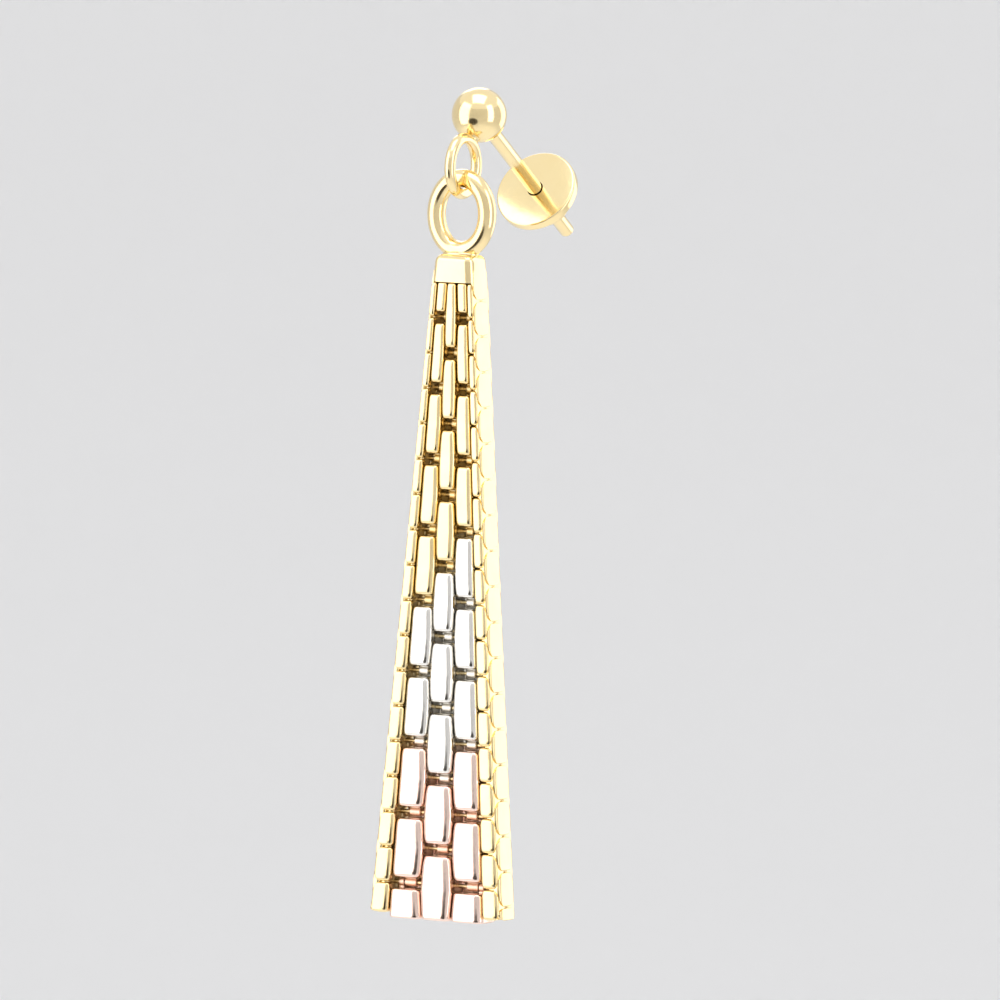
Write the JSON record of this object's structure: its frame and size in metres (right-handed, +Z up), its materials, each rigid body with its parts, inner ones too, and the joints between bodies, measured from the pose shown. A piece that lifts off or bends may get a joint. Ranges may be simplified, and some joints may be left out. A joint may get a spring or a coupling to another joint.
{
  "type": "drop earring",
  "caption": "Drop earring: a ball post carries a loop, and a tapered panel of brick links hangs from it on a ring.",
  "frame": {"origin": "where the post leaves the back of the ball, the point that sits in the pierced ear", "axes": "+Z up, along the hanging drop; the front of the drop faces -Y; the post runs back along +Y and droops 32 degrees"},
  "size_m": [0.0082, 0.0143, 0.0451],
  "materials": {
    "yellow_gold": "high polish yellow gold",
    "white_gold": "high polish white gold",
    "rose_gold": "high polish rose gold"
  },
  "bodies": {
    "stud": {"ball_stud": "yellow_gold", "ear_nut": "yellow_gold"},
    "drop": {"drop_frame": "yellow_gold", "brick_left_0": "yellow_gold", "brick_left_1": "yellow_gold", "brick_left_2": "yellow_gold", "brick_left_3": "yellow_gold", "brick_left_4": "yellow_gold", "brick_left_5": "white_gold", "brick_left_6": "white_gold", "brick_left_7": "rose_gold", "brick_left_8": "rose_gold", "brick_left_9": "rose_gold", "brick_centre_1": "yellow_gold", "brick_centre_2": "yellow_gold", "brick_centre_3": "yellow_gold", "brick_centre_4": "yellow_gold", "brick_centre_5": "white_gold", "brick_centre_6": "white_gold", "brick_centre_7": "white_gold", "brick_centre_8": "rose_gold", "brick_centre_9": "rose_gold", "brick_right_0": "yellow_gold", "brick_right_1": "yellow_gold", "brick_right_2": "yellow_gold", "brick_right_3": "yellow_gold", "brick_right_4": "white_gold", "brick_right_5": "white_gold", "brick_right_6": "white_gold", "brick_right_7": "rose_gold", "brick_right_8": "rose_gold", "brick_right_9": "rose_gold", "cross_pin_01": "yellow_gold", "cross_pin_02": "yellow_gold", "cross_pin_03": "yellow_gold", "cross_pin_04": "yellow_gold", "cross_pin_05": "yellow_gold", "cross_pin_06": "yellow_gold", "cross_pin_07": "yellow_gold", "cross_pin_08": "yellow_gold", "cross_pin_09": "yellow_gold", "cross_pin_10": "yellow_gold", "cross_pin_11": "yellow_gold", "cross_pin_12": "yellow_gold", "cross_pin_13": "yellow_gold", "cross_pin_14": "yellow_gold", "cross_pin_15": "yellow_gold", "cross_pin_16": "yellow_gold", "cross_pin_17": "yellow_gold"}
  },
  "joints": [
    {"name": "drop_swing", "type": "hinge", "parent": "stud", "child": "drop", "pos_m": [0, -0.00297, -0.00342], "axis": [0, 1, 0], "range_deg": [-75, 75]}
  ]
}
